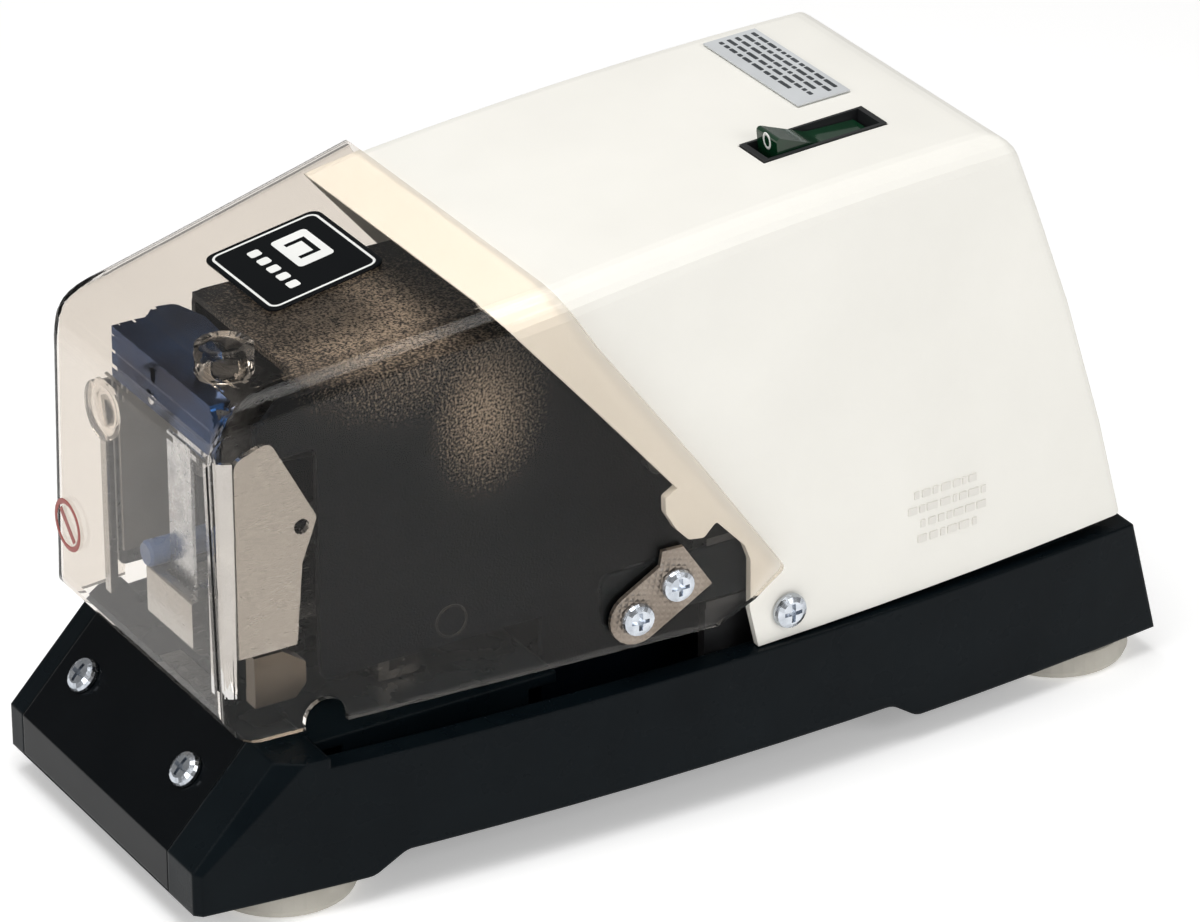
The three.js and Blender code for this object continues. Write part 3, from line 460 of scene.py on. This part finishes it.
def slab_mesh(name, outlines, depth, where):
    """Flat plates, each from an outline, standing depth above the drawing's plane."""
    bm = bmesh.new()
    for outline in outlines:
        low = [bm.verts.new(where @ Vector((u, v, 0))) for u, v in outline]
        high = [bm.verts.new(where @ Vector((u, v, depth))) for u, v in outline]
        bm.faces.new(low[::-1])
        bm.faces.new(high)
        wall(bm, low, high)
    return mesh_from(bm, name)


def loop_mesh(name, path, radius, where, flatten=1.0, sides=10):
    """A wire along a closed path of (u, v) points. flatten presses it towards the drawing's plane."""
    bm = bmesh.new()
    points = [Vector((u, v, 0)) for u, v in path]
    up = Vector((0, 0, 1))
    rings = []
    for i, point in enumerate(points):
        along = points[(i + 1) % len(points)] - points[i - 1]
        side = along.cross(up).normalized()
        ring = []
        for k in range(sides):
            angle = 2 * math.pi * k / sides
            offset = side * math.cos(angle) * radius + up * math.sin(angle) * radius * flatten
            ring.append(bm.verts.new(where @ (point + offset)))
        rings.append(ring)
    for i, ring in enumerate(rings):
        wall(bm, ring, rings[(i + 1) % len(rings)])
    return mesh_from(bm, name)


def lathe_mesh(name, profile, where, sides=40):
    """Turned body from (radius, height) points. A radius of 0 closes an end, else the profile is a loop."""
    bm = bmesh.new()
    rings = []
    for radius, height in profile:
        if radius == 0:
            rings.append([bm.verts.new(where @ Vector((0, 0, height)))])
        else:
            circle = ring_path(radius, sides)
            rings.append([bm.verts.new(where @ Vector((u, v, height))) for u, v in circle])
    pairs = list(zip(rings, rings[1:]))
    if len(rings[0]) > 1:
        pairs.append((rings[-1], rings[0]))
    for low, high in pairs:
        if len(low) > 1 and len(high) > 1:
            wall(bm, low, high)
            continue
        tip, ring = (low[0], high) if len(low) == 1 else (high[0], low)
        for k in range(sides):
            bm.faces.new((tip, ring[k], ring[(k + 1) % sides]))
    return mesh_from(bm, name)


def ring_path(radius, steps=48):
    return arc(radius, 0, 360, steps)[:-1]


def rounded(u0, v0, u1, v1, radius, steps=6):
    """Rectangle with round corners."""
    points = []
    corners = ((u1 - radius, v1 - radius, 0), (u0 + radius, v1 - radius, 90),
               (u0 + radius, v0 + radius, 180), (u1 - radius, v0 + radius, 270))
    for u, v, start in corners:
        points += arc(radius, start, start + 90, steps, u, v)
    return points


def surface_point(node, start, direction):
    """Where a line from start, in millimetres, meets a CAD node, and the surface's normal there."""
    hit, point, normal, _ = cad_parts[node].ray_cast(Vector(start) * MM, Vector(direction))
    if not hit:
        raise RuntimeError("the line misses " + node)
    return point / MM, normal


def node_box(name):
    """A CAD node's two corners in millimetres."""
    low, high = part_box(name)
    return low / MM, high / MM


# ------------------------------------------------------------------ markings

HOOD_TOP_TILT = math.atan(12.5 / 70)  # the hood's top falls 12.5 mm over 70 mm
BADGE_HALF = 0.27                     # from the badge's middle plane to just under its face
BADGE_EDGE = (-16.4, -15, 16.4, 15)
BADGE_BAR = (-11.5, -0.6, 4.5, 9.6)
PRINT_DEPTH = 0.08
STAPLE = [(-8, 1.6), (-6.6, 1.6), (-6.6, 6), (-0.4, 6), (-0.4, 1.6), (1, 1.6), (1, 7.4), (-8, 7.4)]
DOT_COUNT = 5
DOT_STEP = 5
DOT = (-11.5, -7.4, -8.3, -4.2)


def badge_part(name, mesh, look, smooth=False):
    settle(name, mesh, look, "hood_carriage", smooth=smooth)


def badge_art():
    """A thin border, a staple pictogram and a row of dots."""
    low, high = node_box("hood_badge")
    along = (0, math.cos(HOOD_TOP_TILT), math.sin(HOOD_TOP_TILT))
    out = Vector((0, -math.sin(HOOD_TOP_TILT), math.cos(HOOD_TOP_TILT)))
    where = place((low + high) / 2 + out * BADGE_HALF, (1, 0, 0), along)
    border = loop_mesh("badge_border", rounded(*BADGE_EDGE, 2.2), 0.36, where, 0.3)
    badge_part("badge_border", border, "white_ink", smooth=True)
    panel = slab_mesh("badge_panel", [rounded(*BADGE_BAR, 1.2)], PRINT_DEPTH, where)
    badge_part("badge_panel", panel, "white_ink")
    raised = where @ Matrix.Translation((0, 0, PRINT_DEPTH + 0.01))
    staple = slab_mesh("badge_staple", [STAPLE], 0.06, raised)
    badge_part("badge_staple", staple, "black_gloss")
    u0, v0, u1, v1 = DOT
    dots = [rounded(u0 + DOT_STEP * k, v0, u1 + DOT_STEP * k, v1, 0.7) for k in range(DOT_COUNT)]
    badge_part("badge_dots", slab_mesh("badge_dots", dots, PRINT_DEPTH, where), "white_ink")


RING_RADIUS = 6.4
RING_WIRE = 0.75
RING_SHIFT = 1.8  # inwards, so the ring stays on the flat of the front wall
BAR_DEPTH = 0.16


def warning_ring():
    """A plain ring with a bar across it, in place of the disc."""
    low, high = node_box("warning_label")
    where = place((low + high) / 2 + Vector((RING_SHIFT, 0, 0)), (1, 0, 0), (0, 0, 1))
    ring = loop_mesh("warning_ring", ring_path(RING_RADIUS), RING_WIRE, where, 0.2)
    obj = settle("warning_ring", ring, "red", "hood_carriage")
    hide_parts("warning_label")
    corners = [(-4.2, 3.0), (-3.0, 4.2), (4.2, -3.0), (3.0, -4.2)]
    bar = slab_mesh("warning_bar", [corners], BAR_DEPTH, where @ Matrix.Translation((0, 0, -BAR_DEPTH / 2)))
    settle("warning_bar", bar, "red", "hood_carriage", smooth=False)


LABEL_THICK = 0.35
LABEL_ROWS = 5
SHORT_ROWS = (2, 4)
ROW_STEP = 2.5
ROW_HEIGHT = 1.15


def label_lines():
    """Rows of short dashes stand for print on the roof label."""
    low, high = node_box("top_label")
    along = Vector((1, 0, 0))
    slope = Vector((0, high.y - low.y, high.z - low.z - LABEL_THICK)).normalized()
    base = Vector((low.x, low.y, low.z + LABEL_THICK)) + along.cross(slope) * 0.02
    rng = random.Random(7)
    width, height = high.x - low.x, high.y - low.y
    dashes = []
    for row in range(LABEL_ROWS):
        v = height - 2.6 - row * ROW_STEP
        u = 2.0
        stop = width - (10 if row in SHORT_ROWS else 4)
        while u < stop:
            length = min(rng.uniform(1.4, 5.5), width - 2.5 - u)
            dashes.append(rounded(u, v, u + length, v + ROW_HEIGHT, 0.3, 3))
            u += length + rng.uniform(0.5, 1.0)
    mesh = slab_mesh("label_lines", dashes, 0.05, place(base, along, slope))
    settle("label_lines", mesh, "ink", "machine", smooth=False)


DASH_ROWS = ((64.0, 84.5, 70.0), (62.0, 88.5, 65.8), (66.0, 87.0, 61.6), (65.0, 84.0, 57.4))
DASH_HEIGHT = 2.1
DASH_SUNK = 0.02
DASH_PROUD = 0.32
RIGHT_OF_ALL = 90


def moulded_dashes():
    """Raised rows on the casing's right side, each row from y0 to y1 at its own height."""
    rng = random.Random(21)
    bm = bmesh.new()
    for y0, y1, z in DASH_ROWS:
        y = y0
        while y < y1 - 1:
            length = min(rng.uniform(1.2, 3.4), y1 - y)
            corners = [(y, z), (y + length, z), (y + length, z + DASH_HEIGHT), (y, z + DASH_HEIGHT)]
            hits = [surface_point("casing", (RIGHT_OF_ALL, *corner), (-1, 0, 0)) for corner in corners]
            low = [bm.verts.new((point - normal * DASH_SUNK) * MM) for point, normal in hits]
            high = [bm.verts.new((point + normal * DASH_PROUD) * MM) for point, normal in hits]
            bm.faces.new(low[::-1])
            bm.faces.new(high)
            wall(bm, low, high)
            y += length + rng.uniform(0.6, 1.1)
    mesh = mesh_from(bm, "moulded_dashes")
    # greyer than the casing: painted shade on the raised dashes
    settle("moulded_dashes", mesh, "moulding_painted_shade", "machine", bevel=0.12)


ROCKER_MARK = (20.15, 40.02, 163.55)  # middle of the raised end's face
ROCKER_LEAN = (0, -0.105, 0.995)


def rocker_ring():
    """White oval ring on the raised end of the rocker."""
    oval = [(u * 0.75, v) for u, v in ring_path(2.0)]
    mesh = loop_mesh("rocker_ring", oval, 0.42, place(ROCKER_MARK, (1, 0, 0), ROCKER_LEAN), 0.35)
    settle("rocker_ring", mesh, "white_ink", "rocker")


# ------------------------------------------------------------------ inside the hood

BOSS_PLACE = (12, -112, 133.6)
BOSS_PROFILE = [(4.6, 0), (7.4, 0), (7.4, 7.4), (4.6, 7.4)]
KNOB_PLACE = (-19, -130.9, 115)  # on the inner face of the front wall
KNOB_PROFILE = [(0, 0.2), (8.0, 0.2), (8.0, 1.9), (7.6, 2.3), (4.6, 2.3), (4.0, 1.2), (0, 1.2)]
EJECTOR_FROM = (0, -70.5, 70.4)


def hood_mouldings():
    """Clear boss under the top, a knob behind the front wall and an ejector ring on the right side."""
    boss = lathe_mesh("top_boss", BOSS_PROFILE, place(BOSS_PLACE, (1, 0, 0), (0, 1, 0)))
    settle("top_boss", boss, "clear", "hood_carriage")
    knob = lathe_mesh("front_knob", KNOB_PROFILE, place(KNOB_PLACE, (-1, 0, 0), (0, 0, 1)))
    settle("front_knob", knob, "clear", "hood_carriage")
    point, _ = surface_point("hood", EJECTOR_FROM, (1, 0, 0))
    where = place(point - Vector((0.4, 0, 0)), (0, 1, 0), (0, 0, 1))
    ring = loop_mesh("ejector_ring", ring_path(4.3), 0.3, where)
    settle("ejector_ring", ring, "clear", "hood_carriage")


PLATE_X = -29.4
PLATE_THICK = 1.0
PLATE_OUTLINE = [(-120.6, 68), (-101.5, 68), (-99.6, 70), (-99.6, 117), (-120.6, 117)]
RIVET_PLACE = (-6, -122.5, 121.3)
RIVET_PROFILE = [(0, 0.9), (1.0, 0.7), (1.6, 0), (0, -0.2)]


def head_sides():
    """Satin side plate on the left of the head, and a rivet on the cap's lip."""
    where = place((PLATE_X, 0, 0), (0, 1, 0), (0, 0, 1))
    plate = slab_mesh("head_plate", [PLATE_OUTLINE], PLATE_THICK, where)
    settle("head_plate", plate, "satin_grey", "driver", bevel=0.3)
    rivet = lathe_mesh("head_rivet", RIVET_PROFILE, place(RIVET_PLACE, (1, 0, 0), (0, 0, 1)), 24)
    settle("head_rivet", rivet, "chrome", "driver")


GUARD_BOTTOM = 55.5
RIGHT_GUARD_HEIGHT = 65.5
LEFT_GUARD_HEIGHT = 60
BEND = (30.6, -122.5)  # centre of the right corner's bend
BEND_OUTER = 3.2
BEND_INNER = 2.0
FRONT_EDGE = 27.6      # where the right strip's front leg ends
LEFT_GUARD = [(-33.6, -123.6), (-30.6, -123.6), (-30.6, -122.6), (-32.5, -122.6), (-32.5, -120.3),
              (-33.6, -120.3)]


def corner_guards():
    """Bent chrome strip round the right front corner of the head, and an angle strip on the left."""
    u, v = BEND
    end = v + 0.2
    outer = [(FRONT_EDGE, v - BEND_OUTER)] + arc(BEND_OUTER, -90, 0, 8, u, v) + [(u + BEND_OUTER, end)]
    inner = [(u + BEND_INNER, end)] + arc(BEND_INNER, 0, -90, 8, u, v) + [(FRONT_EDGE, v - BEND_INNER)]
    where = place((0, 0, GUARD_BOTTOM), (1, 0, 0), (0, 1, 0))
    right = slab_mesh("corner_guard", [outer + inner], RIGHT_GUARD_HEIGHT, where)
    settle("corner_guard", right, "chrome", "machine", bevel=0.2)
    left = slab_mesh("left_guard", [LEFT_GUARD], LEFT_GUARD_HEIGHT, where)
    settle("left_guard", left, "nickel", "machine", bevel=0.2)


# ------------------------------------------------------------------ the scene

camera()
studio()
MAKE = all_materials()
dress(MAKE)
badge_art()
warning_ring()
label_lines()
moulded_dashes()
rocker_ring()
hood_mouldings()
head_sides()
corner_guards()
